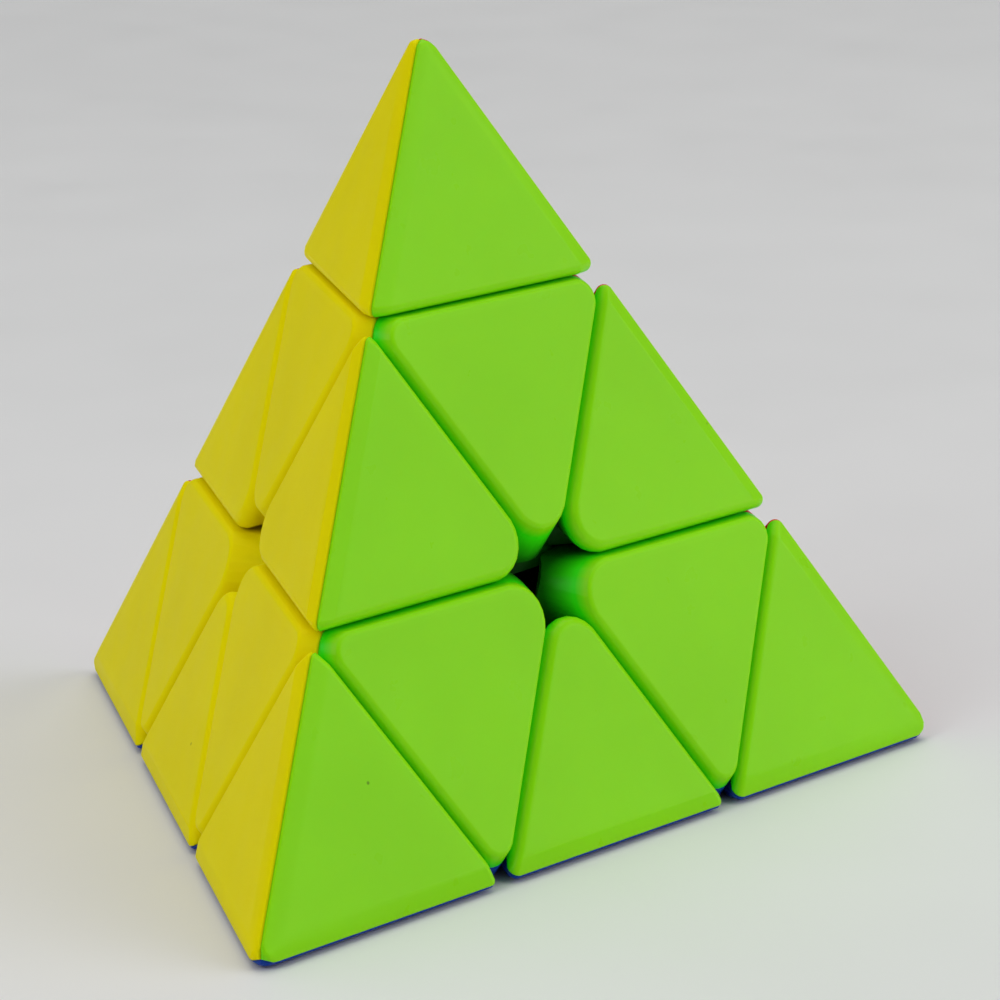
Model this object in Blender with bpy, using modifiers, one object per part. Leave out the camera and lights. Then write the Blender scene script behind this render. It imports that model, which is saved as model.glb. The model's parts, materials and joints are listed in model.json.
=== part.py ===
"""Pyramid twisty puzzle: four screwed corner axes round a core, six edge pieces and four tips.

Metres, +Z up. The origin is the centre of the core, where the four turning axes meet.
The puzzle stands on its bottom face, and its front face looks along -Y.
"""
import math

import bmesh
import bpy
from mathutils import Matrix, Vector

# ---- driving dimensions -------------------------------------------------------------------
SHARP_EDGE = 0.103         # edge of the pyramid before its edges are rounded
CUT_EDGE = 0.100           # edge of the slightly smaller pyramid that the cuts divide in three
CORNER_ROUND = 0.0017      # radius along the pyramid's own edges and corners
SEAM_ROUND = 0.0009        # radius where a face turns into a seam
HOLE_ROUND = 0.0044        # radius of the corners that meet at the middle of a face
AXIAL_ROUND = 0.0016       # radius of a corner piece where it comes to the pyramid's edges
SEAM_GAP = 0.0004          # between pieces that turn past each other
FIT_GAP = 0.0003           # between parts fixed to each other
WALL = 0.0020              # wall of the coloured shells

CORE_RADIUS = 0.0090       # ball of the core
FOOT_INNER = 0.0094        # sphere that the feet slide on
FOOT_OUTER = 0.0155        # sphere under which the feet are held
FOOT_ANGLE = 69.0          # half-angle of a layer's feet about its axis, degrees
FOOT_LENGTH = 0.0200       # length of an edge piece's foot
NECK_LENGTH = 0.0160       # length of the neck that joins the foot to its piece
NECK_TOP = 0.0200
HUB_ANGLE = 38.0           # half-angle of a hub's flared base, degrees

ARM_RADIUS = 0.0032        # arms of the core
ARM_BASE = 0.0040
ARM_TOP = 0.0165
SCREW_RADIUS = 0.0015
SCREW_HOLE_END = 0.0082    # bottom of the core's screw holes
HUB_RADIUS = 0.0070        # outside of a hub's tube
HUB_TOP = 0.0336
HUB_SHOULDER = (0.0200, 0.0247)
CARRIER_RADIUS = 0.0052    # cup that carries a tip
CARRIER_BASE = 0.0250
CARRIER_FLOOR = 0.0020
CARRIER_TOP = 0.0405
CUP_RADIUS = 0.0043        # inside the cup
FLANGE_RADIUS = 0.0062
FLANGE = (0.0366, 0.0381)
SPRING = (0.0277, 0.0348)  # wire centres at the two ends
SPRING_RADIUS = 0.0031
WIRE_RADIUS = 0.0004
SPRING_TURNS = 4
WASHER = (0.0356, 0.0362)
WASHER_RADIUS = 0.0039
HEAD = (0.0365, 0.0387)    # screw head
HEAD_RADIUS = 0.0031
HEAD_FLAT = 0.6            # share of the head's radius that is nearly flat
HEAD_CROWN = 0.0001
HEAD_ROUND = 0.0010
RECESS = (0.0036, 0.0007, 0.0024)   # length, width and height of each slot's cutter
SCREW_END = 0.0092
SCREW_POINT = 0.0010

ROUND_STEPS = 2            # facets of a rounded edge
CORNER_STEPS = 4           # divisions of a rounded corner
TURN_STEPS = 24            # facets round a bore or a cone
HUB_STEPS = 20
CARRIER_STEPS = 16
ARM_STEPS = 16
SCREW_STEPS = 12
BALL_STEPS = (24, 14)      # facets round and down a ball
CORE_STEPS = (20, 12)
ARC_STEPS = 2
SPRING_STEPS = 9           # points in one turn of the spring
SMOOTH_ANGLE = 35.0        # faces that meet at less are shaded smooth, degrees
GROUP_SIZE = 0.02          # drawn size of the empties

# ---- worked out from them -----------------------------------------------------------------
FACE = SHARP_EDGE / math.sqrt(24)   # from the centre to each face
CUT_FACE = CUT_EDGE / math.sqrt(24)
TIP_PLANE = CUT_FACE * 5 / 3        # where a tip parts from its corner piece
LAYER_PLANE = CUT_FACE / 3          # where a layer parts from the rest
BIG = 0.2                           # larger than the whole puzzle
BORE_REACH = 0.004                  # how far a bore's cutter runs past the wall it cuts
BALL_MARGIN = 0.0001                # a faceted ball lies up to this far inside its sphere
MERGE = 0.00003                     # vertices closer than this are one
FINE_MERGE = 0.000005
ON_PLANE = 1e-7
BALL_TURN = math.radians(3.7)       # keeps a ball's vertices off the mirror planes

CORNERS = {
    "top": Vector((0, 0, 1)),
    "left": Vector((-math.sqrt(2 / 3), -math.sqrt(2) / 3, -1 / 3)),
    "right": Vector((math.sqrt(2 / 3), -math.sqrt(2) / 3, -1 / 3)),
    "back": Vector((0, math.sqrt(8) / 3, -1 / 3)),
}
# each colour belongs to the face opposite the corner it is listed under
FACE_COLOURS = {"back": "green", "right": "yellow", "left": "red", "top": "blue"}
EDGES = (("top", "left"), ("top", "right"), ("top", "back"),
         ("left", "right"), ("left", "back"), ("right", "back"))

MATERIALS = {
    "green": ((0.23, 0.60, 0.03, 1), 0.35, 0.0),
    "yellow": ((0.66, 0.55, 0.0, 1), 0.35, 0.0),
    "red": ((0.60, 0.02, 0.015, 1), 0.35, 0.0),
    "blue": ((0.01, 0.06, 0.50, 1), 0.35, 0.0),
    "black": ((0.02, 0.02, 0.02, 1), 0.5, 0.0),
    "steel": ((0.55, 0.56, 0.58, 1), 0.3, 1.0),
}


# ---- general helpers ----------------------------------------------------------------------
def clear_scene():
    for obj in list(bpy.data.objects):
        bpy.data.objects.remove(obj, do_unlink=True)


def new_collection(name):
    collection = bpy.data.collections.new(name)
    bpy.context.scene.collection.children.link(collection)
    return collection


def new_material(name, colour, roughness, metallic):
    material = bpy.data.materials.new(name)
    material.use_nodes = True
    shader = material.node_tree.nodes["Principled BSDF"]
    shader.inputs["Base Color"].default_value = colour
    shader.inputs["Roughness"].default_value = roughness
    shader.inputs["Metallic"].default_value = metallic
    material.diffuse_color = colour
    return material


def add_cutter(name, mesh):
    """An object that only shapes others."""
    obj = bpy.data.objects.new(name, mesh)
    CUTTERS.objects.link(obj)
    obj.hide_render = True
    obj.display_type = "WIRE"
    return obj


def mesh_from(name, bm):
    mesh = bpy.data.meshes.new(name)
    bm.normal_update()
    bm.to_mesh(mesh)
    bm.free()
    return mesh


def evaluated_mesh(obj, name):
    """The mesh that an object's modifiers make, with one material slot."""
    bpy.context.view_layer.update()
    depsgraph = bpy.context.evaluated_depsgraph_get()
    mesh = bpy.data.meshes.new_from_object(obj.evaluated_get(depsgraph), depsgraph=depsgraph)
    mesh.name = name
    mesh.set_sharp_from_angle(angle=math.radians(SMOOTH_ANGLE))
    if not mesh.materials:
        mesh.materials.append(None)
    return mesh


def combine(target, cutter, operation):
    """Add one exact Boolean to target."""
    modifier = target.modifiers.new(operation.lower() + "_" + cutter.name, "BOOLEAN")
    modifier.operation = operation
    modifier.solver = "EXACT"
    modifier.object = cutter


def keep_below(bm, plane):
    """Cut a convex body and keep the side where p . normal is under the plane's distance."""
    normal, distance = plane
    geometry = bm.verts[:] + bm.edges[:] + bm.faces[:]
    result = bmesh.ops.bisect_plane(bm, geom=geometry, dist=ON_PLANE, plane_co=normal * distance,
                                    plane_no=normal, clear_outer=True)
    rim = [item for item in result["geom_cut"] if isinstance(item, bmesh.types.BMEdge)]
    if rim:
        bmesh.ops.edgeloop_fill(bm, edges=rim)


def cell(name, planes, splits=()):
    """A convex body bounded by planes, each a unit normal and a distance, then split."""
    bm = bmesh.new()
    bmesh.ops.create_cube(bm, size=BIG)
    for plane in planes:
        keep_below(bm, plane)
    bmesh.ops.remove_doubles(bm, verts=bm.verts, dist=MERGE)
    for plane in splits:
        keep_below(bm, plane)
    bmesh.ops.recalc_face_normals(bm, faces=bm.faces)
    return add_cutter(name, mesh_from(name, bm))


def ball(name, radius, steps=BALL_STEPS):
    """A sphere, turned a little so that its vertices miss the mirror planes of the pieces."""
    bm = bmesh.new()
    bmesh.ops.create_uvsphere(bm, u_segments=steps[0], v_segments=steps[1], radius=radius,
                              matrix=Matrix.Rotation(BALL_TURN, 4, "Z"))
    return add_cutter(name, mesh_from(name, bm))


def rod(name, radius, low, high, steps=TURN_STEPS):
    """A cylinder about Z."""
    bm = bmesh.new()
    bmesh.ops.create_cone(bm, cap_ends=True, segments=steps, radius1=radius, radius2=radius,
                          depth=high - low, matrix=Matrix.Translation((0, 0, (low + high) / 2)))
    return add_cutter(name, mesh_from(name, bm))


def turned(name, profile, closed, steps):
    """A profile of (radius, height) points, down the outer side first, turned about Z."""
    mesh = bpy.data.meshes.new(name)
    count = len(profile)
    edges = [(i, i + 1) for i in range(count - 1)]
    if closed:
        edges.append((count - 1, 0))
    mesh.from_pydata([(radius, 0, height) for radius, height in profile], edges, [])
    obj = add_cutter(name, mesh)
    screw = obj.modifiers.new("turn", "SCREW")
    screw.steps = steps
    screw.render_steps = steps
    screw.use_merge_vertices = True
    screw.merge_threshold = FINE_MERGE
    return obj


def arc(radius, start, stop):
    """Profile points on a sphere, from one angle off the axis to another."""
    points = []
    for i in range(ARC_STEPS + 1):
        angle = math.radians(start + (stop - start) * i / ARC_STEPS)
        points.append((radius * math.sin(angle), radius * math.cos(angle)))
    return points


# ---- the pieces' outer forms --------------------------------------------------------------
def outer_face(name):
    """The plane of the face opposite a corner."""
    return (-CORNERS[name], FACE)


def tangents(first, second, radius):
    """Planes tangent to the cylinder that rounds the edge between two planes."""
    lean = first[0].dot(second[0])
    inner_first = first[1] - radius
    inner_second = second[1] - radius
    middle = first[0] * (inner_first - lean * inner_second)
    middle += second[0] * (inner_second - lean * inner_first)
    middle /= 1 - lean * lean
    planes = []
    for i in range(1, ROUND_STEPS + 1):
        normal = first[0].slerp(second[0], i / (ROUND_STEPS + 1))
        planes.append((normal, normal.dot(middle) + radius))
    return planes


def corner_tangents(planes, radius):
    """Planes tangent to the ball that rounds the corner between three planes."""
    normals = [normal for normal, distance in planes]
    middle = Matrix(normals).inverted() @ Vector([distance - radius for normal, distance in planes])
    found = []
    for i in range(1, CORNER_STEPS - 1):
        for j in range(1, CORNER_STEPS - i):
            blend = normals[0] * i + normals[1] * j + normals[2] * (CORNER_STEPS - i - j)
            normal = blend.normalized()
            found.append((normal, normal.dot(middle) + radius))
    return found


def fillets(outside, seams):
    """Planes that round every edge between some outside planes and some seam planes."""
    planes = []
    for outer in outside:
        for seam in seams:
            planes += tangents(outer, seam, SEAM_ROUND)
    return planes


def tip_planes():
    """The top tip: three faces, their rounded edges and point, and the flat bottom."""
    faces = [outer_face(name) for name in ("left", "right", "back")]
    strips = []
    for i in range(3):
        strips += tangents(faces[i - 1], faces[i], CORNER_ROUND)
    bottom = (Vector((0, 0, -1)), -(TIP_PLANE + SEAM_GAP / 2))
    planes = faces + [bottom] + strips + corner_tangents(faces, CORNER_ROUND)
    return planes + fillets(faces + strips, [bottom])


def axial_planes():
    """The top corner piece: a ceiling under the tip, a floor, and a side to each other layer."""
    names = ("left", "right", "back")
    up = Vector((0, 0, 1))
    ceiling = (up, TIP_PLANE - SEAM_GAP / 2)
    sides = {name: (CORNERS[name], LAYER_PLANE - SEAM_GAP / 2) for name in names}
    planes = [ceiling, (-up, -(LAYER_PLANE + SEAM_GAP / 2))] + list(sides.values())
    for name in names:
        face = outer_face(name)
        beside = [sides[other] for other in names if other != name]
        curves = tangents(beside[0], beside[1], HOLE_ROUND)
        for side in beside:
            curves += tangents(ceiling, side, AXIAL_ROUND)
        planes += [face] + curves + fillets([face], [ceiling] + beside + curves)
    return planes


def edge_planes():
    """The top left edge piece: two faces, and a wall to each layer that it can leave."""
    faces = [outer_face("back"), outer_face("right")]
    near = LAYER_PLANE + SEAM_GAP / 2
    walls = [(-CORNERS["top"], -near), (-CORNERS["left"], -near)]
    strips = tangents(faces[0], faces[1], CORNER_ROUND)
    wedge = tangents(walls[0], walls[1], HOLE_ROUND)
    planes = faces + walls + strips + wedge
    return planes + fillets(faces + strips, walls) + fillets(faces, wedge)


def sector_planes():
    """The two planes that bound the front face's third of the space round +Z."""
    first = Vector((-0.5, math.sqrt(0.75), 0))
    second = Vector((0.5, math.sqrt(0.75), 0))
    return [(first, -FIT_GAP / 2), (second, -FIT_GAP / 2)]


def tip_shell():
    """One coloured third of a tip, hollow, for the top corner's front face."""
    shell = cell("tip_blank", tip_planes(), sector_planes())
    hollow = [(Vector((0, 0, -1)), -(TIP_PLANE + SEAM_GAP / 2 + WALL))]
    for name in ("left", "right", "back"):
        hollow.append((-CORNERS[name], FACE - WALL))
    combine(shell, cell("tip_hollow", hollow), "DIFFERENCE")
    bore = rod("tip_bore", CARRIER_RADIUS + FIT_GAP, TIP_PLANE - BORE_REACH, TIP_PLANE + BORE_REACH)
    combine(shell, bore, "DIFFERENCE")
    return evaluated_mesh(shell, "tip_shell")


def axial_shell():
    """One coloured third of a corner piece, hollow, for the top corner's front face."""
    shell = cell("axial_blank", axial_planes(), sector_planes())
    inside = [(Vector((0, 0, 1)), TIP_PLANE - SEAM_GAP / 2 - WALL)]
    for name in ("left", "right", "back"):
        inside.append((CORNERS[name], LAYER_PLANE - SEAM_GAP / 2 - WALL))
        inside.append((-CORNERS[name], FACE - WALL))
    hollow = cell("axial_hollow", inside)
    combine(hollow, ball("hollow_floor", FOOT_OUTER + SEAM_GAP + WALL), "DIFFERENCE")
    combine(shell, ball("axial_underside", FOOT_OUTER + SEAM_GAP + BALL_MARGIN), "DIFFERENCE")
    bore = rod("axial_bore", HUB_RADIUS + FIT_GAP, 0, TIP_PLANE + BORE_REACH)
    combine(shell, bore, "DIFFERENCE")
    combine(shell, hollow, "DIFFERENCE")
    return evaluated_mesh(shell, "axial_shell")


def edge_frame(first, second, opposite):
    """Rotation whose Z runs to the middle of an edge, and whose +Y side is one face's side."""
    up = (CORNERS[first] + CORNERS[second]).normalized()
    out = -CORNERS[opposite]
    side = (out - up * out.dot(up)).normalized()
    return Matrix((side.cross(up), side, up)).transposed().to_4x4()


def corner_frame(corner, opposite):
    """Rotation that takes +Z to a corner, and the front face to the face opposite another."""
    up = CORNERS[corner]
    back = CORNERS[opposite] - up * CORNERS[opposite].dot(up)
    back.normalize()
    return Matrix((back.cross(up), back, up)).transposed().to_4x4()


def axis_frame(corner):
    """A corner's frame, for what is the same all round its axis."""
    return corner_frame(corner, "top" if corner == "back" else "back")


def layer_cone(name, corner):
    """The cone about a layer's axis that its feet stay inside."""
    height = FOOT_OUTER
    radius = height * math.tan(math.radians(FOOT_ANGLE))
    bm = bmesh.new()
    bmesh.ops.create_cone(bm, cap_ends=True, segments=TURN_STEPS, radius1=0, radius2=radius,
                          depth=height, matrix=Matrix.Translation((0, 0, height / 2)))
    bmesh.ops.remove_doubles(bm, verts=bm.verts, dist=MERGE)
    cone = add_cutter(name, mesh_from(name, bm))
    cone.matrix_world = axis_frame(corner)
    return cone


def edge_half():
    """The green half of the top left edge piece, hollow, with half of its foot."""
    axes = [CORNERS["top"], CORNERS["left"]]
    faces = [-CORNERS["back"], -CORNERS["right"]]
    frame = edge_frame("top", "left", "back")
    side = frame.col[1].to_3d()
    out = frame.col[2].to_3d()
    near = LAYER_PLANE + SEAM_GAP / 2
    split = [(-side, -FIT_GAP / 2)]
    piece = cell("edge_blank", edge_planes(), split)
    foot = cell("edge_foot", [(side, FOOT_LENGTH / 2)] + split)
    combine(foot, ball("foot_outside", FOOT_OUTER), "INTERSECT")
    combine(foot, layer_cone("top_layer_cone", "top"), "INTERSECT")
    combine(foot, layer_cone("left_layer_cone", "left"), "INTERSECT")
    combine(foot, ball("foot_inside", FOOT_INNER), "DIFFERENCE")
    hollow = [(-axis, -near - WALL) for axis in axes] + [(face, FACE - WALL) for face in faces]
    hollow.append((-out, -NECK_TOP + WALL / 2))
    neck = [(-axis, -near - MERGE) for axis in axes]
    neck += [(side, NECK_LENGTH / 2), (out, NECK_TOP)] + split
    combine(piece, cell("edge_neck", neck), "UNION")
    combine(piece, foot, "UNION")
    combine(piece, cell("edge_hollow", hollow), "DIFFERENCE")
    return evaluated_mesh(piece, "edge_half")


# ---- the mechanism ------------------------------------------------------------------------
def core_body():
    """A ball with four arms, each with a hole for its screw."""
    core = ball("core_ball", CORE_RADIUS, CORE_STEPS)
    for corner in CORNERS:
        arm = rod("core_arm_" + corner, ARM_RADIUS, ARM_BASE, ARM_TOP, ARM_STEPS)
        arm.matrix_world = axis_frame(corner)
        combine(core, arm, "UNION")
    for corner in CORNERS:
        hole = rod("core_hole_" + corner, SCREW_RADIUS + FIT_GAP, SCREW_HOLE_END,
                   ARM_TOP + BORE_REACH, SCREW_STEPS)
        hole.matrix_world = axis_frame(corner)
        combine(core, hole, "DIFFERENCE")
    return evaluated_mesh(core, "core")


def hub():
    """The inner tube of a corner piece, with the flared base that stands on the core."""
    bore = ARM_RADIUS + FIT_GAP
    clear = SCREW_RADIUS + FIT_GAP
    socket = CARRIER_RADIUS + FIT_GAP
    neck = math.degrees(math.asin(HUB_RADIUS / FOOT_OUTER))
    mouth = math.degrees(math.asin(bore / FOOT_INNER))
    profile = [(HUB_RADIUS, HUB_TOP)]
    profile += arc(FOOT_OUTER, neck, HUB_ANGLE)
    profile += arc(FOOT_INNER, HUB_ANGLE, mouth)
    profile += [(bore, HUB_SHOULDER[0]), (clear, HUB_SHOULDER[0]), (clear, HUB_SHOULDER[1])]
    profile += [(socket, HUB_SHOULDER[1]), (socket, HUB_TOP)]
    return evaluated_mesh(turned("hub_profile", profile, True, HUB_STEPS), "axial_hub")


def carrier():
    """The cup in the middle of a tip, with the flange that its shells sit on."""
    floor = CARRIER_BASE + CARRIER_FLOOR
    clear = SCREW_RADIUS + FIT_GAP
    profile = [
        (CARRIER_RADIUS, CARRIER_TOP), (CARRIER_RADIUS, FLANGE[1]), (FLANGE_RADIUS, FLANGE[1]),
        (FLANGE_RADIUS, FLANGE[0]), (CARRIER_RADIUS, FLANGE[0]), (CARRIER_RADIUS, CARRIER_BASE),
        (clear, CARRIER_BASE), (clear, floor), (CUP_RADIUS, floor), (CUP_RADIUS, CARRIER_TOP),
    ]
    return evaluated_mesh(turned("carrier_profile", profile, True, CARRIER_STEPS), "tip_carrier")


def tension_screw():
    """A pan-head screw with a cross recess."""
    profile = [
        (0, HEAD[1]), (HEAD_RADIUS * HEAD_FLAT, HEAD[1] - HEAD_CROWN),
        (HEAD_RADIUS, HEAD[1] - HEAD_ROUND), (HEAD_RADIUS, HEAD[0]), (SCREW_RADIUS, HEAD[0]),
        (SCREW_RADIUS, SCREW_END + SCREW_POINT), (0, SCREW_END),
    ]
    screw = turned("screw_profile", profile, False, SCREW_STEPS)
    for turn in (0, math.pi / 2):
        bm = bmesh.new()
        bmesh.ops.create_cube(bm, size=1)
        bmesh.ops.scale(bm, verts=bm.verts, vec=RECESS)
        bmesh.ops.rotate(bm, verts=bm.verts, matrix=Matrix.Rotation(turn, 3, "Z"))
        bmesh.ops.translate(bm, verts=bm.verts, vec=(0, 0, HEAD[1]))
        combine(screw, add_cutter("recess", mesh_from("recess", bm)), "DIFFERENCE")
    return evaluated_mesh(screw, "tension_screw")


def washer():
    """A flat ring between the spring and the screw's head."""
    inner = SCREW_RADIUS + FIT_GAP
    profile = [(WASHER_RADIUS, WASHER[1]), (WASHER_RADIUS, WASHER[0]),
               (inner, WASHER[0]), (inner, WASHER[1])]
    return evaluated_mesh(turned("washer_profile", profile, True, SCREW_STEPS), "spring_washer")


def tension_spring():
    """A wire wound round the screw."""
    count = SPRING_TURNS * SPRING_STEPS
    curve = bpy.data.curves.new("spring_wire", "CURVE")
    curve.dimensions = "3D"
    curve.bevel_depth = WIRE_RADIUS
    curve.bevel_resolution = 2
    curve.use_fill_caps = True
    spline = curve.splines.new("POLY")
    spline.points.add(count)
    for i in range(count + 1):
        angle = 2 * math.pi * i / SPRING_STEPS
        height = SPRING[0] + (SPRING[1] - SPRING[0]) * i / count
        x = SPRING_RADIUS * math.cos(angle)
        y = SPRING_RADIUS * math.sin(angle)
        spline.points[i].co = (x, y, height, 1)
    wire = add_cutter("spring_wire", curve)
    mesh = evaluated_mesh(wire, "tension_spring")
    bm = bmesh.new()
    bm.from_mesh(mesh)
    bmesh.ops.remove_doubles(bm, verts=bm.verts, dist=FINE_MERGE)
    bmesh.ops.recalc_face_normals(bm, faces=bm.faces)
    bm.to_mesh(mesh)
    bm.free()
    return mesh


# ---- placing the pieces -------------------------------------------------------------------
def new_group(name):
    """An empty at the centre, where every turning axis passes."""
    group = bpy.data.objects.new(name, None)
    group.empty_display_size = GROUP_SIZE
    PUZZLE.objects.link(group)
    return group


def place(name, mesh, material, group, frame):
    """One sub-part, turned into its place about the centre."""
    obj = bpy.data.objects.new(name, mesh)
    PUZZLE.objects.link(obj)
    obj.material_slots[0].link = "OBJECT"
    obj.material_slots[0].material = MATERIAL[material]
    obj.parent = group
    obj.rotation_mode = "QUATERNION"
    obj.rotation_quaternion = frame.to_quaternion()


def place_corner(corner, shapes, core):
    """One corner piece, its tip and its screw, each with a shell for every face it shows."""
    faces = [name for name in CORNERS if name != corner]
    frame = corner_frame(corner, faces[0])
    axial = new_group("axial_" + corner)
    tip = new_group("tip_" + corner)
    tip.parent = axial
    place(f"axial_{corner}_hub", shapes["hub"], "black", axial, frame)
    place(f"tip_{corner}_carrier", shapes["carrier"], "black", tip, frame)
    place(f"tension_screw_{corner}", shapes["screw"], "steel", core, frame)
    place(f"spring_washer_{corner}", shapes["washer"], "steel", core, frame)
    place(f"tension_spring_{corner}", shapes["spring"], "steel", core, frame)
    for face in faces:
        colour = FACE_COLOURS[face]
        frame = corner_frame(corner, face)
        place(f"axial_{corner}_{colour}_shell", shapes["axial_shell"], colour, axial, frame)
        place(f"tip_{corner}_{colour}_shell", shapes["tip_shell"], colour, tip, frame)


def place_edge(first, second, mesh):
    """One edge piece, a half on each of the two faces it shows."""
    group = new_group(f"edge_{first}_{second}")
    modelled = edge_frame("top", "left", "back").inverted()
    for face in CORNERS:
        if face not in (first, second):
            colour = FACE_COLOURS[face]
            frame = edge_frame(first, second, face) @ modelled
            place(f"edge_{first}_{second}_{colour}_half", mesh, colour, group, frame)


def build():
    core = new_group("core_group")
    place("core", core_body(), "black", core, Matrix.Identity(4))
    shapes = {
        "hub": hub(),
        "carrier": carrier(),
        "screw": tension_screw(),
        "washer": washer(),
        "spring": tension_spring(),
        "axial_shell": axial_shell(),
        "tip_shell": tip_shell(),
    }
    for corner in CORNERS:
        place_corner(corner, shapes, core)
    half = edge_half()
    for first, second in EDGES:
        place_edge(first, second, half)


clear_scene()
PUZZLE = new_collection("pyramid_puzzle")
CUTTERS = new_collection("cutters")
MATERIAL = {name: new_material(name, *values) for name, values in MATERIALS.items()}
build()
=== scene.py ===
"""Looks of the pyramid twisty puzzle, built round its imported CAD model.

Metres, +Z up, in the row's own frame: the origin is the centre of the core. Every piece is
made for the top corner or the top left edge and then turned into its place.
"""
import json
import math

import bmesh
import bpy
from mathutils import Matrix, Quaternion, Vector


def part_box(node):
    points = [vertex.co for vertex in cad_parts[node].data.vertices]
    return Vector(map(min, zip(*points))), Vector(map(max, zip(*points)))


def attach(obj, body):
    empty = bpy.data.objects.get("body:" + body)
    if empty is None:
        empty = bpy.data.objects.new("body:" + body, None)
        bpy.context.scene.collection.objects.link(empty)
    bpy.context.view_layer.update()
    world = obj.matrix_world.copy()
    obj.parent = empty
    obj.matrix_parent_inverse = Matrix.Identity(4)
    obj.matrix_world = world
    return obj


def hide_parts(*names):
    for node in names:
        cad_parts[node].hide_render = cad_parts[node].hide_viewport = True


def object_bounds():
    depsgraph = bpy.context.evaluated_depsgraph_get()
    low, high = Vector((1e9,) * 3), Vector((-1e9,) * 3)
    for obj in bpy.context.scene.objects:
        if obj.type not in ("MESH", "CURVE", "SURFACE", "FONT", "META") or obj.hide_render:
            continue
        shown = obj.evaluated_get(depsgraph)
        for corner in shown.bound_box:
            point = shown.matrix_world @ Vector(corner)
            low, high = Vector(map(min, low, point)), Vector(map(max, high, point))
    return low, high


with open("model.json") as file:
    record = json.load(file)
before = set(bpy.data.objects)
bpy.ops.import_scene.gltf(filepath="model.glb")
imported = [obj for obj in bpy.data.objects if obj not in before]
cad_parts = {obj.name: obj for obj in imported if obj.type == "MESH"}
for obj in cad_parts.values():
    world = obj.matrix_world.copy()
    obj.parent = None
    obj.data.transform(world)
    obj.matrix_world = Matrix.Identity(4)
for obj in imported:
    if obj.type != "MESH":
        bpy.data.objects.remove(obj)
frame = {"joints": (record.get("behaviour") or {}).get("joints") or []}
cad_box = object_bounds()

# ---- sizes read from the frame ------------------------------------------------------------
FLOOR_HEIGHT = cad_box[0].z
FACE = -FLOOR_HEIGHT                                   # from the centre to each face
TIP_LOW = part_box("tip_top_green_shell")[0].z
AXIAL_LOW, AXIAL_HIGH = (corner.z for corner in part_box("axial_top_green_shell"))
RUNNING_GAP = TIP_LOW - AXIAL_HIGH                     # between the CAD pieces of two layers
TIP_PLANE = (TIP_LOW + AXIAL_HIGH) / 2
LAYER_PLANE = AXIAL_LOW - RUNNING_GAP / 2
HUB_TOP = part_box("axial_top_hub")[1].z
CARRIER_LOW, CARRIER_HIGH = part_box("tip_top_carrier")
SCREW_LOW, SCREW_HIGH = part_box("tension_screw_top")
WASHER_LOW, WASHER_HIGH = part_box("spring_washer_top")
SPRING_LOW, SPRING_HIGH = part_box("tension_spring_top")

CORNERS = {}
for joint in frame["joints"]:
    if joint["name"].endswith("_layer_turn"):
        CORNERS[joint["name"].removesuffix("_layer_turn")] = Vector(joint["axis"]).normalized()
# each colour belongs to the face opposite the corner it is listed under
FACE_COLOURS = {"back": "green", "right": "yellow", "left": "red", "top": "blue"}
EDGES = (("top", "left"), ("top", "right"), ("top", "back"),
         ("left", "right"), ("left", "back"), ("right", "back"))

# ---- the pieces' own sizes ----------------------------------------------------------------
SEAM_GAP = 0.00018         # at a seam's narrowest, tighter than the CAD pieces stand
CORNER_ROUND = 0.00175     # radius of the pyramid's own four points
RIDGE_BAND = 0.0030        # reach of the band beside each of the pyramid's edges
RIDGE_TILT = 14.0          # lean of the bands off their faces, degrees
RIDGE_ROUND = 0.00060      # radius between the two bands
BAND_ROUND = 0.0040        # radius of the soft turn from a face into its band
RIDGE_END_ROUND = 0.0010   # radius where the bands turn into a seam
TIP_SEAM_ROUND = 0.00105   # radii where a face turns into a seam
EDGE_SEAM_ROUND = 0.00135
AXIAL_SEAM_ROUND = 0.0008
HOLE_ROUND = 0.0044        # radius of the corners that meet at the middle of a face
AXIAL_ROUND = 0.0025       # radius of a corner piece where it comes to the pyramid's edges
PARTING_GAP = 0.00002      # between two colours of one piece
PARTING_ROUND = 0.00030
WALL = 0.0020
FOOT_INNER = 0.0094        # sphere that the feet slide on
FOOT_OUTER = 0.0155        # sphere under which the feet are held
FOOT_ANGLE = 69.0          # half-angle of a layer's feet about its axis, degrees
FOOT_LENGTH = 0.0200
NECK_LENGTH = 0.0160
NECK_TOP = 0.0200
CORE_RADIUS = 0.0090
ARM_RADIUS = 0.0032
ARM_BASE = 0.0040
ARM_TOP = 0.0165
SCREW_HOLE_END = 0.0082
SCREW_RADIUS = 0.0015
FIT_GAP = 0.0003
HUB_RADIUS = 0.0070
HUB_ANGLE = 38.0           # half-angle of a hub's flared base, degrees
HUB_SHOULDER = (0.0200, 0.0247)
CARRIER_RADIUS = 0.0052
CARRIER_FLOOR = 0.0020
CUP_RADIUS = 0.0043
FLANGE_RADIUS = 0.0062
FLANGE = (0.0366, 0.0381)
HEAD_HEIGHT = 0.0022
HEAD_RADIUS = 0.0031
HEAD_CROWN = 0.0010        # height of the head's domed part
RECESS = (0.0036, 0.0007, 0.0024)
THREAD_PITCH = 0.0006
THREAD_DEPTH = 0.00018
THREAD = (0.0012, 0.0085)  # from the screw's end to the thread's start and end
POINT_HEIGHT = 0.0004
POINT_SHARE = 0.7          # of the shank's radius
SPRING_RADIUS = 0.0031
SPRING_TURNS = 5.5
SPRING_CLOSING = 0.105     # how far the end turns are drawn up
WIRE_RADIUS = 0.0004
CORE_EASE = 0.0003         # widths of the eased edges
TUBE_EASE = 0.00015
WASHER_EASE = 0.00008

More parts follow.
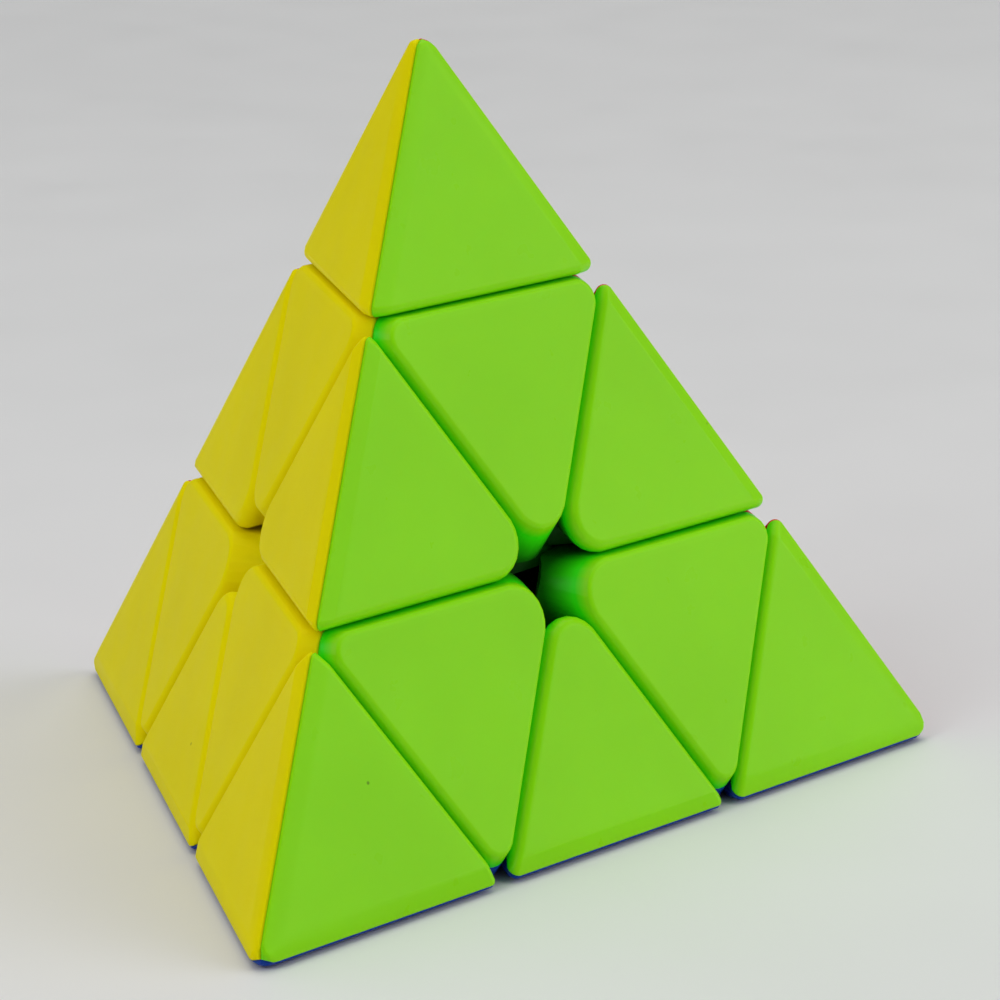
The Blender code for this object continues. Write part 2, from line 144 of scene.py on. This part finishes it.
# ---- fineness -----------------------------------------------------------------------------
ROUND_STEPS = 7            # planes round each edge, odd so that one lies on a parting plane
BAND_STEPS = 2             # planes between a face and its band
PARTING_STEPS = 5          # planes of a quarter round along a parting line
PARTING_KEPT = 3           # of them, so that the groove stays shallow and open
CORNER_STEPS = 8
BALL_STEPS = (96, 48)
BORE_STEPS = 64
TURN_STEPS = 72
ARC_STEPS = 10
CROWN_STEPS = 8
SPRING_STEPS = 240
BIG = 0.2                  # larger than the whole puzzle
MERGE = 0.000002           # vertices closer than this are one
ON_PLANE = 1e-7
SQUARE = 1e-5              # cosine under which two planes cross at a right angle
SMOOTH_ANGLE = 32.0
BALL_TURN = math.radians(3.7)
BORE_REACH = 0.004


# ---- materials ----------------------------------------------------------------------------
WHITE = (1, 1, 1, 1)
SEAM_DEPTHS = (0.0005, 0.0014)   # below a face, where the seams' painted bounce light starts and is full
HOLE_DEPTHS = (0.0016, 0.0042)   # the same for the holes' painted shade
# painted light for the green plastic: the normal of its face, a fuller green as painted bounce
# light in the seams, and a dark green as painted shade in the holes
GREEN_PAINTED_DEPTH_LIGHT = (-CORNERS["back"], (0.040, 0.850, 0.003, 1), (0.010, 0.190, 0.003, 1))


class Nodes:
    """A material and short ways to add nodes to it."""

    def __init__(self, name):
        self.material = bpy.data.materials.new(name)
        self.material.use_nodes = True
        self.tree = self.material.node_tree
        self.shader = self.tree.nodes["Principled BSDF"]
        self.place = self.tree.nodes.new("ShaderNodeTexCoord").outputs["Object"]

    def add(self, kind, **inputs):
        node = self.tree.nodes.new(kind)
        for name, value in inputs.items():
            node.inputs[name.replace("_", " ")].default_value = value
        return node

    def link(self, start, end):
        self.tree.links.new(start, end)

    def noise(self, scale, detail):
        node = self.add("ShaderNodeTexNoise", Scale=scale, Detail=detail)
        self.link(self.place, node.inputs["Vector"])
        return node.outputs["Fac"]

    def spread(self, value, low, high):
        """A value from 0.3 to 0.7 mapped to a range."""
        node = self.add("ShaderNodeMapRange", From_Min=0.3, From_Max=0.7, To_Min=low, To_Max=high)
        self.link(value, node.inputs["Value"])
        return node.outputs["Result"]

    def below_face(self, outward, start, end):
        """From 0 to 1 between two depths under the puzzle's face with that normal."""
        height = self.tree.nodes.new("ShaderNodeVectorMath")
        height.operation = "DOT_PRODUCT"
        height.inputs[1].default_value = outward
        self.link(self.place, height.inputs[0])
        node = self.add("ShaderNodeMapRange", From_Min=FACE - start, From_Max=FACE - end)
        self.link(height.outputs["Value"], node.inputs["Value"])
        return node.outputs["Result"]

    def colours(self, factor, first, second):
        node = self.tree.nodes.new("ShaderNodeMix")
        node.data_type = "RGBA"
        node.inputs[6].default_value = first
        node.inputs[7].default_value = second
        self.link(factor, node.inputs[0])
        return node

    def bump(self, height, strength, distance, below=None):
        node = self.add("ShaderNodeBump", Strength=strength, Distance=distance)
        self.link(height, node.inputs["Height"])
        if below:
            self.link(below.outputs["Normal"], node.inputs["Normal"])
        return node


def shaded(colour, factor):
    return tuple(channel * factor for channel in colour[:3]) + (1.0,)


def moulded_plastic(name, colour, gloss, roughness, grain, translucency, painted_depth_light=None):
    """Moulded plastic: faint cloudiness, a fine spark-eroded grain, a few dust specks, and where
    asked painted bounce light in the seams and painted shade in the holes.
    """
    made = Nodes(name)
    cloud = made.spread(made.noise(scale=55.0, detail=3.0), low=0.0, high=1.0)
    base = made.colours(cloud, shaded(colour, 0.97), shaded(colour, 1.03))
    if painted_depth_light:
        # painted light: a fuller green deep in the seams stands in for light bounced between the
        # green walls, and a dark green deep in the holes is painted shade
        outward, painted_seam_bounce, painted_hole_shade = painted_depth_light
        for (start, end), painted_colour in ((SEAM_DEPTHS, painted_seam_bounce), (HOLE_DEPTHS, painted_hole_shade)):
            depth = made.below_face(outward, start, end)
            painted_mix = made.colours(depth, WHITE, painted_colour)
            made.link(base.outputs[2], painted_mix.inputs[6])
            base = painted_mix
    cells = made.add("ShaderNodeTexVoronoi", Scale=120.0)
    made.link(made.place, cells.inputs["Vector"])
    near = made.add("ShaderNodeMapRange", From_Min=0.012, From_Max=0.028, To_Min=1.0, To_Max=0.0)
    made.link(cells.outputs["Distance"], near.inputs["Value"])
    speckled = made.colours(near.outputs["Result"], WHITE, shaded(colour, 0.45))
    made.link(base.outputs[2], speckled.inputs[6])
    made.link(speckled.outputs[2], made.shader.inputs["Base Color"])
    smear = made.spread(made.noise(scale=260.0, detail=4.0),
                        low=roughness - 0.03, high=roughness + 0.04)
    made.link(smear, made.shader.inputs["Roughness"])
    sink = made.bump(made.noise(scale=90.0, detail=1.0), strength=0.12, distance=0.00006)
    texture = made.bump(made.noise(scale=5200.0, detail=2.0),
                        strength=grain, distance=0.00001, below=sink)
    made.link(texture.outputs["Normal"], made.shader.inputs["Normal"])
    made.shader.inputs["IOR"].default_value = 1.5
    made.shader.inputs["Specular IOR Level"].default_value = gloss
    made.shader.inputs["Subsurface Weight"].default_value = translucency
    made.shader.inputs["Subsurface Radius"].default_value = (0.9, 1.0, 0.25)
    made.shader.inputs["Subsurface Scale"].default_value = 0.0010
    return made.material


def plated_steel(name):
    """Plain plated steel: uneven roughness and fine drawn marks."""
    made = Nodes(name)
    tone = made.spread(made.noise(scale=900.0, detail=3.0), low=0.0, high=1.0)
    base = made.colours(tone, (0.50, 0.51, 0.53, 1), (0.64, 0.65, 0.67, 1))
    made.link(base.outputs[2], made.shader.inputs["Base Color"])
    wear = made.spread(made.noise(scale=2400.0, detail=4.0), low=0.24, high=0.42)
    made.link(wear, made.shader.inputs["Roughness"])
    marks = made.bump(made.noise(scale=9000.0, detail=3.0), strength=0.2, distance=0.000006)
    made.link(marks.outputs["Normal"], made.shader.inputs["Normal"])
    made.shader.inputs["Metallic"].default_value = 1.0
    return made.material


def studio_floor(name):
    """A matt pale sweep with a very faint mottle."""
    made = Nodes(name)
    mottle = made.spread(made.noise(scale=9.0, detail=5.0), low=0.0, high=1.0)
    base = made.colours(mottle, (0.805, 0.805, 0.80, 1), (0.825, 0.825, 0.82, 1))
    made.link(base.outputs[2], made.shader.inputs["Base Color"])
    dulling = made.spread(made.noise(scale=40.0, detail=4.0), low=0.55, high=0.68)
    made.link(dulling, made.shader.inputs["Roughness"])
    fibre = made.bump(made.noise(scale=1500.0, detail=3.0), strength=0.08, distance=0.00004)
    made.link(fibre.outputs["Normal"], made.shader.inputs["Normal"])
    return made.material


MATERIALS = {
    "green": moulded_plastic("green_plastic", (0.285, 0.780, 0.003), gloss=0.12, roughness=0.30,
                             grain=0.10, translucency=0.60, painted_depth_light=GREEN_PAINTED_DEPTH_LIGHT),
    "yellow": moulded_plastic("yellow_plastic", (0.900, 0.780, 0.000), gloss=0.02, roughness=0.42,
                              grain=0.10, translucency=0.60),
    "red": moulded_plastic("red_plastic", (0.700, 0.018, 0.010), gloss=0.12, roughness=0.30,
                           grain=0.10, translucency=0.50),
    "blue": moulded_plastic("blue_plastic", (0.004, 0.045, 0.380), gloss=0.12, roughness=0.30,
                            grain=0.10, translucency=0.50),
    "black": moulded_plastic("black_plastic", (0.022, 0.022, 0.024), gloss=0.35, roughness=0.50,
                             grain=0.45, translucency=0.0),
    "steel": plated_steel("plated_steel"),
}


# ---- general helpers ----------------------------------------------------------------------
HELPERS = []


def helper(name, data):
    """An object that only shapes others; it is removed before the end."""
    obj = bpy.data.objects.new(name, data)
    bpy.context.scene.collection.objects.link(obj)
    HELPERS.append(obj)
    return obj


def mesh_from(name, bm):
    mesh = bpy.data.meshes.new(name)
    bm.normal_update()
    bm.to_mesh(mesh)
    bm.free()
    return mesh


def finished(obj, name):
    """The mesh an object's modifiers make, smooth where it is round and flat where it is flat."""
    depsgraph = bpy.context.evaluated_depsgraph_get()
    mesh = bpy.data.meshes.new_from_object(obj.evaluated_get(depsgraph), depsgraph=depsgraph)
    mesh.shade_smooth()
    mesh.set_sharp_from_angle(angle=math.radians(SMOOTH_ANGLE))
    smoothed = helper(name + "_smooth", mesh)
    weighted = smoothed.modifiers.new("weighted", "WEIGHTED_NORMAL")
    weighted.keep_sharp = True
    bpy.context.view_layer.update()
    depsgraph = bpy.context.evaluated_depsgraph_get()
    result = bpy.data.meshes.new_from_object(smoothed.evaluated_get(depsgraph), depsgraph=depsgraph)
    result.name = name
    result.materials.clear()
    result.materials.append(None)
    return result


def combine(target, cutter, operation):
    modifier = target.modifiers.new(operation.lower() + "_" + cutter.name, "BOOLEAN")
    modifier.operation = operation
    modifier.solver = "EXACT"
    modifier.object = cutter


def keep_below(bm, plane):
    """Cut a convex body and keep the side where p . normal is under the plane's distance."""
    normal, distance = plane
    geometry = bm.verts[:] + bm.edges[:] + bm.faces[:]
    bmesh.ops.bisect_plane(bm, geom=geometry, dist=ON_PLANE, plane_co=normal * distance,
                           plane_no=normal, clear_outer=True)
    bmesh.ops.remove_doubles(bm, verts=bm.verts, dist=MERGE)
    rim = [edge for edge in bm.edges if edge.is_boundary]
    if rim:
        bmesh.ops.edgeloop_fill(bm, edges=rim)


def cell(name, planes, splits=()):
    """A convex body bounded by planes, then split, with a small round along each split."""
    bm = bmesh.new()
    bmesh.ops.create_cube(bm, size=BIG)
    for plane in planes:
        keep_below(bm, plane)
    for split in splits:
        keep_below(bm, split)
    for split in splits:
        for plane in planes:
            if abs(plane[0].dot(split[0])) < SQUARE:
                groove = tangents(plane, split, PARTING_ROUND, PARTING_STEPS)
                for tangent in groove[:PARTING_KEPT]:
                    keep_below(bm, tangent)
    bmesh.ops.remove_doubles(bm, verts=bm.verts, dist=MERGE)
    bmesh.ops.recalc_face_normals(bm, faces=bm.faces)
    return helper(name, mesh_from(name, bm))


def ball(name, radius):
    bm = bmesh.new()
    bmesh.ops.create_uvsphere(bm, u_segments=BALL_STEPS[0], v_segments=BALL_STEPS[1],
                              radius=radius, matrix=Matrix.Rotation(BALL_TURN, 4, "Z"))
    return helper(name, mesh_from(name, bm))


def rod(name, radius, low, high):
    bm = bmesh.new()
    bmesh.ops.create_cone(bm, cap_ends=True, segments=BORE_STEPS, radius1=radius, radius2=radius,
                          depth=high - low, matrix=Matrix.Translation((0, 0, (low + high) / 2)))
    return helper(name, mesh_from(name, bm))


def turned(name, profile, closed):
    """A profile of (radius, height) points, down the outer side first, turned about Z."""
    mesh = bpy.data.meshes.new(name)
    edges = [(i, i + 1) for i in range(len(profile) - 1)]
    if closed:
        edges.append((len(profile) - 1, 0))
    mesh.from_pydata([(radius, 0, height) for radius, height in profile], edges, [])
    obj = helper(name, mesh)
    screw = obj.modifiers.new("turn", "SCREW")
    screw.steps = TURN_STEPS
    screw.render_steps = TURN_STEPS
    screw.use_merge_vertices = True
    screw.merge_threshold = MERGE
    return obj


def soften(obj, width):
    """Round every hard edge a little."""
    bevel = obj.modifiers.new("soften", "BEVEL")
    bevel.width = width
    bevel.segments = 2
    bevel.limit_method = "ANGLE"
    bevel.angle_limit = math.radians(50)


def arc(radius, start, stop):
    """Profile points on a sphere, from one angle off the axis to another."""
    points = []
    for i in range(ARC_STEPS + 1):
        angle = math.radians(start + (stop - start) * i / ARC_STEPS)
        points.append((radius * math.sin(angle), radius * math.cos(angle)))
    return points


# ---- planes -------------------------------------------------------------------------------
def outer_face(name):
    """The plane of the face opposite a corner."""
    return (-CORNERS[name], FACE)


def meeting(first, second, inset):
    """The point nearest the origin on the line that lies an inset below both planes."""
    lean = first[0].dot(second[0])
    inner_first = first[1] - inset
    inner_second = second[1] - inset
    point = first[0] * (inner_first - lean * inner_second)
    point += second[0] * (inner_second - lean * inner_first)
    return point / (1 - lean * lean)


def tangents(first, second, radius, steps=ROUND_STEPS):
    """Planes tangent to the cylinder that rounds the edge between two planes."""
    middle = meeting(first, second, radius)
    planes = []
    for i in range(1, steps + 1):
        normal = first[0].slerp(second[0], i / (steps + 1))
        planes.append((normal, normal.dot(middle) + radius))
    return planes


def band(face, other):
    """The plane that leans off a face beside its edge with another."""
    lean = face[0].dot(other[0])
    away = (face[0] * lean - other[0]).normalized()
    start = meeting(face, other, 0) + away * RIDGE_BAND
    normal = face[0].slerp(other[0], math.radians(RIDGE_TILT) / math.acos(lean))
    return (normal, normal.dot(start))


def ridge(first, second):
    """The pyramid's own edge: a band beside it on each face, and a small round between them."""
    bands = [band(first, second), band(second, first)]
    turns = tangents(first, bands[0], BAND_ROUND, BAND_STEPS)
    turns += tangents(second, bands[1], BAND_ROUND, BAND_STEPS)
    return bands + turns + tangents(bands[0], bands[1], RIDGE_ROUND)


def corner_tangents(planes, radius):
    """Planes tangent to the ball that rounds the corner between three planes."""
    normals = [normal for normal, distance in planes]
    middle = Matrix(normals).inverted() @ Vector([distance - radius for normal, distance in planes])
    found = []
    for i in range(1, CORNER_STEPS - 1):
        for j in range(1, CORNER_STEPS - i):
            blend = normals[0] * i + normals[1] * j + normals[2] * (CORNER_STEPS - i - j)
            normal = blend.normalized()
            found.append((normal, normal.dot(middle) + radius))
    return found


def fillets(outside, seams, radius):
    """Planes that round every edge between some outside planes and some seam planes."""
    planes = []
    for outer in outside:
        for seam in seams:
            planes += tangents(outer, seam, radius)
    return planes


def tip_planes():
    """The top tip: three faces, their rounded edges and point, and the flat bottom."""
    faces = [outer_face(name) for name in ("left", "right", "back")]
    strips = []
    for i in range(3):
        strips += ridge(faces[i - 1], faces[i])
    bottom = (Vector((0, 0, -1)), -(TIP_PLANE + SEAM_GAP / 2))
    planes = faces + [bottom] + strips + corner_tangents(faces, CORNER_ROUND)
    planes += fillets(faces, [bottom], TIP_SEAM_ROUND)
    return planes + fillets(strips, [bottom], RIDGE_END_ROUND)


def axial_planes():
    """The top corner piece: a ceiling under the tip, a floor, and a side to each other layer."""
    names = ("left", "right", "back")
    up = Vector((0, 0, 1))
    ceiling = (up, TIP_PLANE - SEAM_GAP / 2)
    sides = {name: (CORNERS[name], LAYER_PLANE - SEAM_GAP / 2) for name in names}
    planes = [ceiling, (-up, -(LAYER_PLANE + SEAM_GAP / 2))] + list(sides.values())
    for name in names:
        face = outer_face(name)
        beside = [sides[other] for other in names if other != name]
        curves = tangents(beside[0], beside[1], HOLE_ROUND)
        for side in beside:
            curves += tangents(ceiling, side, AXIAL_ROUND)
        planes += [face] + curves
        planes += fillets([face], [ceiling] + beside + curves, AXIAL_SEAM_ROUND)
    return planes


def edge_planes():
    """The top left edge piece: two faces, and a wall to each layer that it can leave."""
    faces = [outer_face("back"), outer_face("right")]
    near = LAYER_PLANE + SEAM_GAP / 2
    walls = [(-CORNERS["top"], -near), (-CORNERS["left"], -near)]
    strips = ridge(faces[0], faces[1])
    wedge = tangents(walls[0], walls[1], HOLE_ROUND)
    planes = faces + walls + strips + wedge
    planes += fillets(faces, walls + wedge, EDGE_SEAM_ROUND)
    return planes + fillets(strips, walls, RIDGE_END_ROUND)


def sector_planes():
    """The two planes that bound the front face's third of the space round +Z."""
    first = Vector((-0.5, math.sqrt(0.75), 0))
    second = Vector((0.5, math.sqrt(0.75), 0))
    return [(first, -PARTING_GAP / 2), (second, -PARTING_GAP / 2)]


# ---- coloured shells ----------------------------------------------------------------------
def tip_shell():
    """One coloured third of a tip, hollow, for the top corner's front face."""
    shell = cell("tip_blank", tip_planes(), sector_planes())
    hollow = [(Vector((0, 0, -1)), -(TIP_PLANE + SEAM_GAP / 2 + WALL))]
    for name in ("left", "right", "back"):
        hollow.append((-CORNERS[name], FACE - WALL))
    combine(shell, cell("tip_hollow", hollow), "DIFFERENCE")
    bore = rod("tip_bore", CARRIER_RADIUS + FIT_GAP, TIP_PLANE - BORE_REACH, TIP_PLANE + BORE_REACH)
    combine(shell, bore, "DIFFERENCE")
    return finished(shell, "tip_shell")


def axial_shell():
    """One coloured third of a corner piece, hollow, for the top corner's front face."""
    shell = cell("axial_blank", axial_planes(), sector_planes())
    inside = [(Vector((0, 0, 1)), TIP_PLANE - SEAM_GAP / 2 - WALL)]
    for name in ("left", "right", "back"):
        inside.append((CORNERS[name], LAYER_PLANE - SEAM_GAP / 2 - WALL))
        inside.append((-CORNERS[name], FACE - WALL))
    hollow = cell("axial_hollow", inside)
    combine(hollow, ball("hollow_floor", FOOT_OUTER + RUNNING_GAP + WALL), "DIFFERENCE")
    combine(shell, ball("axial_underside", FOOT_OUTER + RUNNING_GAP), "DIFFERENCE")
    bore = rod("axial_bore", HUB_RADIUS + FIT_GAP, 0, TIP_PLANE + BORE_REACH)
    combine(shell, bore, "DIFFERENCE")
    combine(shell, hollow, "DIFFERENCE")
    return finished(shell, "axial_shell")


def edge_frame(first, second, opposite):
    """Rotation whose Z runs to the middle of an edge, and whose +Y side is one face's side."""
    up = (CORNERS[first] + CORNERS[second]).normalized()
    out = -CORNERS[opposite]
    side = (out - up * out.dot(up)).normalized()
    return Matrix((side.cross(up), side, up)).transposed().to_4x4()


def corner_frame(corner, opposite):
    """Rotation that takes +Z to a corner, and the front face to the face opposite another."""
    up = CORNERS[corner]
    back = CORNERS[opposite] - up * CORNERS[opposite].dot(up)
    back.normalize()
    return Matrix((back.cross(up), back, up)).transposed().to_4x4()


def axis_frame(corner):
    """A corner's frame, for what is the same all round its axis."""
    return corner_frame(corner, "top" if corner == "back" else "back")


def layer_cone(name, corner):
    """The cone about a layer's axis that its feet stay inside."""
    radius = FOOT_OUTER * math.tan(math.radians(FOOT_ANGLE))
    bm = bmesh.new()
    bmesh.ops.create_cone(bm, cap_ends=True, segments=BORE_STEPS, radius1=0, radius2=radius,
                          depth=FOOT_OUTER, matrix=Matrix.Translation((0, 0, FOOT_OUTER / 2)))
    bmesh.ops.remove_doubles(bm, verts=bm.verts, dist=MERGE)
    cone = helper(name, mesh_from(name, bm))
    cone.matrix_world = axis_frame(corner)
    return cone


def edge_half():
    """The green half of the top left edge piece, hollow, with half of its foot."""
    axes = [CORNERS["top"], CORNERS["left"]]
    faces = [-CORNERS["back"], -CORNERS["right"]]
    turn = edge_frame("top", "left", "back")
    side = turn.col[1].to_3d()
    out = turn.col[2].to_3d()
    near = LAYER_PLANE + SEAM_GAP / 2
    split = [(-side, -PARTING_GAP / 2)]
    piece = cell("edge_blank", edge_planes(), split)
    foot = cell("edge_foot", [(side, FOOT_LENGTH / 2)] + split)
    combine(foot, ball("foot_outside", FOOT_OUTER), "INTERSECT")
    combine(foot, layer_cone("top_layer_cone", "top"), "INTERSECT")
    combine(foot, layer_cone("left_layer_cone", "left"), "INTERSECT")
    combine(foot, ball("foot_inside", FOOT_INNER), "DIFFERENCE")
    hollow = [(-axis, -near - WALL) for axis in axes] + [(face, FACE - WALL) for face in faces]
    hollow.append((-out, -NECK_TOP + WALL / 2))
    neck = [(-axis, -near - MERGE) for axis in axes]
    neck += [(side, NECK_LENGTH / 2), (out, NECK_TOP)] + split
    combine(piece, cell("edge_neck", neck), "UNION")
    combine(piece, foot, "UNION")
    combine(piece, cell("edge_hollow", hollow), "DIFFERENCE")
    return finished(piece, "edge_half")


# ---- the mechanism ------------------------------------------------------------------------
def core_body():
    """A ball with four arms, each with a hole for its screw."""
    core = ball("core_ball", CORE_RADIUS)
    for corner in CORNERS:
        arm = rod("core_arm_" + corner, ARM_RADIUS, ARM_BASE, ARM_TOP)
        arm.matrix_world = axis_frame(corner)
        combine(core, arm, "UNION")
    for corner in CORNERS:
        hole = rod("core_hole_" + corner, SCREW_RADIUS + FIT_GAP, SCREW_HOLE_END,
                   ARM_TOP + BORE_REACH)
        hole.matrix_world = axis_frame(corner)
        combine(core, hole, "DIFFERENCE")
    soften(core, CORE_EASE)
    return finished(core, "core_surface")


def hub():
    """The inner tube of a corner piece, with the flared base that stands on the core."""
    top = HUB_TOP
    bore = ARM_RADIUS + FIT_GAP
    clear = SCREW_RADIUS + FIT_GAP
    socket = CARRIER_RADIUS + FIT_GAP
    neck = math.degrees(math.asin(HUB_RADIUS / FOOT_OUTER))
    mouth = math.degrees(math.asin(bore / FOOT_INNER))
    profile = [(HUB_RADIUS, top)]
    profile += arc(FOOT_OUTER, neck, HUB_ANGLE)
    profile += arc(FOOT_INNER, HUB_ANGLE, mouth)
    profile += [(bore, HUB_SHOULDER[0]), (clear, HUB_SHOULDER[0]), (clear, HUB_SHOULDER[1])]
    profile += [(socket, HUB_SHOULDER[1]), (socket, top)]
    body = turned("hub_profile", profile, True)
    soften(body, TUBE_EASE)
    return finished(body, "hub")


def carrier():
    """The cup in the middle of a tip, with the flange that its shells sit on."""
    top = CARRIER_HIGH.z
    base = CARRIER_LOW.z
    floor = base + CARRIER_FLOOR
    clear = SCREW_RADIUS + FIT_GAP
    profile = [
        (CARRIER_RADIUS, top), (CARRIER_RADIUS, FLANGE[1]), (FLANGE_RADIUS, FLANGE[1]),
        (FLANGE_RADIUS, FLANGE[0]), (CARRIER_RADIUS, FLANGE[0]), (CARRIER_RADIUS, base),
        (clear, base), (clear, floor), (CUP_RADIUS, floor), (CUP_RADIUS, top),
    ]
    body = turned("carrier_profile", profile, True)
    soften(body, TUBE_EASE)
    return finished(body, "carrier")


def tension_screw():
    """A pan-head screw with a cross recess and a thread along its shank."""
    top = SCREW_HIGH.z
    low = SCREW_LOW.z
    under = top - HEAD_HEIGHT
    profile = [(0, top)]
    for i in range(1, CROWN_STEPS + 1):
        angle = math.pi / 2 * i / CROWN_STEPS
        fall = HEAD_CROWN * (1 - math.cos(angle))
        profile.append((HEAD_RADIUS * math.sin(angle), top - fall))
    profile += [(HEAD_RADIUS, under), (SCREW_RADIUS, under)]
    height = low + THREAD[1]
    while height > low + THREAD[0]:
        profile.append((SCREW_RADIUS, height))
        profile.append((SCREW_RADIUS - THREAD_DEPTH, height - THREAD_PITCH / 2))
        height -= THREAD_PITCH
    profile += [(SCREW_RADIUS * POINT_SHARE, low + POINT_HEIGHT), (0, low)]
    body = turned("screw_profile", profile, False)
    for turn in (0, math.pi / 2):
        bm = bmesh.new()
        bmesh.ops.create_cube(bm, size=1)
        bmesh.ops.scale(bm, verts=bm.verts, vec=RECESS)
        bmesh.ops.rotate(bm, verts=bm.verts, matrix=Matrix.Rotation(turn, 3, "Z"))
        bmesh.ops.translate(bm, verts=bm.verts, vec=(0, 0, top))
        combine(body, helper("recess", mesh_from("recess", bm)), "DIFFERENCE")
    return finished(body, "screw")


def washer():
    """A flat ring with eased rims between the spring and the screw's head."""
    inner = SCREW_RADIUS + FIT_GAP
    outer = WASHER_HIGH.x
    profile = [(outer, WASHER_HIGH.z), (outer, WASHER_LOW.z),
               (inner, WASHER_LOW.z), (inner, WASHER_HIGH.z)]
    body = turned("washer_profile", profile, True)
    soften(body, WASHER_EASE)
    return finished(body, "washer")


def tension_spring():
    """A wire wound round the screw, its first and last turns closed up."""
    low = SPRING_LOW.z + WIRE_RADIUS
    high = SPRING_HIGH.z - WIRE_RADIUS
    curve = bpy.data.curves.new("spring_wire", "CURVE")
    curve.dimensions = "3D"
    curve.bevel_depth = WIRE_RADIUS
    curve.bevel_resolution = 4
    curve.use_fill_caps = True
    spline = curve.splines.new("POLY")
    spline.points.add(SPRING_STEPS)
    for i in range(SPRING_STEPS + 1):
        share = i / SPRING_STEPS
        eased = share - SPRING_CLOSING * math.sin(2 * math.pi * share)
        angle = 2 * math.pi * SPRING_TURNS * share
        x = SPRING_RADIUS * math.cos(angle)
        y = SPRING_RADIUS * math.sin(angle)
        spline.points[i].co = (x, y, low + (high - low) * eased, 1)
    return finished(helper("spring_wire", curve), "spring")


# ---- placing the pieces -------------------------------------------------------------------
def place(node, mesh, colour, body, turn):
    """One piece standing for one CAD node, with its place in its mesh as the node has."""
    placed = mesh.copy()
    placed.transform(turn)
    placed.materials[0] = MATERIALS[colour]
    obj = bpy.data.objects.new(node + "_piece", placed)
    bpy.context.scene.collection.objects.link(obj)
    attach(obj, body)
    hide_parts(node)


def place_corner(corner, shapes):
    """One corner piece, its tip and its screw, each with a shell for every face it shows."""
    faces = [name for name in CORNERS if name != corner]
    turn = corner_frame(corner, faces[0])
    axial = "axial_" + corner
    tip = "tip_" + corner
    place(f"axial_{corner}_hub", shapes["hub"], "black", axial, turn)
    place(f"tip_{corner}_carrier", shapes["carrier"], "black", tip, turn)
    place(f"tension_screw_{corner}", shapes["screw"], "steel", "core", turn)
    place(f"spring_washer_{corner}", shapes["washer"], "steel", "core", turn)
    place(f"tension_spring_{corner}", shapes["spring"], "steel", "core", turn)
    for face in faces:
        colour = FACE_COLOURS[face]
        turn = corner_frame(corner, face)
        place(f"axial_{corner}_{colour}_shell", shapes["axial_shell"], colour, axial, turn)
        place(f"tip_{corner}_{colour}_shell", shapes["tip_shell"], colour, tip, turn)


def place_edge(first, second, mesh):
    """One edge piece, a half on each of the two faces it shows."""
    modelled = edge_frame("top", "left", "back").inverted()
    for face in CORNERS:
        if face not in (first, second):
            colour = FACE_COLOURS[face]
            turn = edge_frame(first, second, face) @ modelled
            edge = f"edge_{first}_{second}"
            place(f"{edge}_{colour}_half", mesh, colour, edge, turn)


def build():
    place("core", core_body(), "black", "core", Matrix.Identity(4))
    shapes = {
        "hub": hub(),
        "carrier": carrier(),
        "screw": tension_screw(),
        "washer": washer(),
        "spring": tension_spring(),
        "axial_shell": axial_shell(),
        "tip_shell": tip_shell(),
    }
    for corner in CORNERS:
        place_corner(corner, shapes)
    half = edge_half()
    for first, second in EDGES:
        place_edge(first, second, half)
    for obj in HELPERS:
        bpy.data.objects.remove(obj)


# ---- studio -------------------------------------------------------------------------------
CAMERA_AZIMUTH = -44.2556  # degrees; 0 looks along +Y
CAMERA_ELEVATION = 15.3015
CAMERA_ROLL = -0.4438
CAMERA_DISTANCE = 0.436709
CAMERA_AIM = Vector((0.00748864, -0.00356655, 0.00976448))
CAMERA_LENS = 147.67       # mm, on a 36 mm sensor
FLOOR_RADIUS = 4.0


def add_floor():
    bm = bmesh.new()
    bmesh.ops.create_circle(bm, cap_ends=True, segments=96, radius=FLOOR_RADIUS)
    floor = bpy.data.objects.new("studio_floor", mesh_from("studio_floor", bm))
    bpy.context.scene.collection.objects.link(floor)
    floor.data.materials.append(studio_floor("studio_floor"))
    floor.location.z = FLOOR_HEIGHT


def add_area(name, azimuth, elevation, distance, size, power):
    """A square softbox that faces the centre of the object."""
    data = bpy.data.lights.new(name, "AREA")
    data.size = size
    data.energy = power
    light = bpy.data.objects.new(name, data)
    bpy.context.scene.collection.objects.link(light)
    back = direction(azimuth, elevation)
    light.location = back * distance
    light.rotation_mode = "QUATERNION"
    light.rotation_quaternion = (-back).to_track_quat("-Z", "Y")


def direction(azimuth, elevation):
    """Unit vector from the centre towards a place seen at that azimuth and elevation."""
    turn = math.radians(azimuth)
    rise = math.radians(elevation)
    return Vector((math.sin(turn) * math.cos(rise), -math.cos(turn) * math.cos(rise),
                   math.sin(rise)))


def add_world():
    world = bpy.data.worlds.new("studio")
    bpy.context.scene.world = world
    world.use_nodes = True
    background = world.node_tree.nodes["Background"]
    background.inputs["Color"].default_value = (0.92, 0.94, 0.96, 1)
    background.inputs["Strength"].default_value = 0.16


def add_camera():
    data = bpy.data.cameras.new("camera")
    data.lens = CAMERA_LENS
    data.sensor_width = 36
    camera = bpy.data.objects.new("camera", data)
    bpy.context.scene.collection.objects.link(camera)
    back = direction(CAMERA_AZIMUTH, CAMERA_ELEVATION)
    camera.location = CAMERA_AIM + back * CAMERA_DISTANCE
    camera.rotation_mode = "QUATERNION"
    upright = (-back).to_track_quat("-Z", "Y")
    roll = Quaternion(back, math.radians(CAMERA_ROLL))
    camera.rotation_quaternion = roll @ upright
    bpy.context.scene.camera = camera


build()
add_floor()
add_world()
add_area("overhead", azimuth=136, elevation=75, distance=3.0, size=3.5, power=50.0)
add_area("main", azimuth=38, elevation=24, distance=1.2, size=1.10, power=6.7)
add_area("left", azimuth=-92, elevation=38, distance=0.9, size=0.45, power=2.1)
add_camera()
bpy.context.scene.view_settings.view_transform = "Standard"
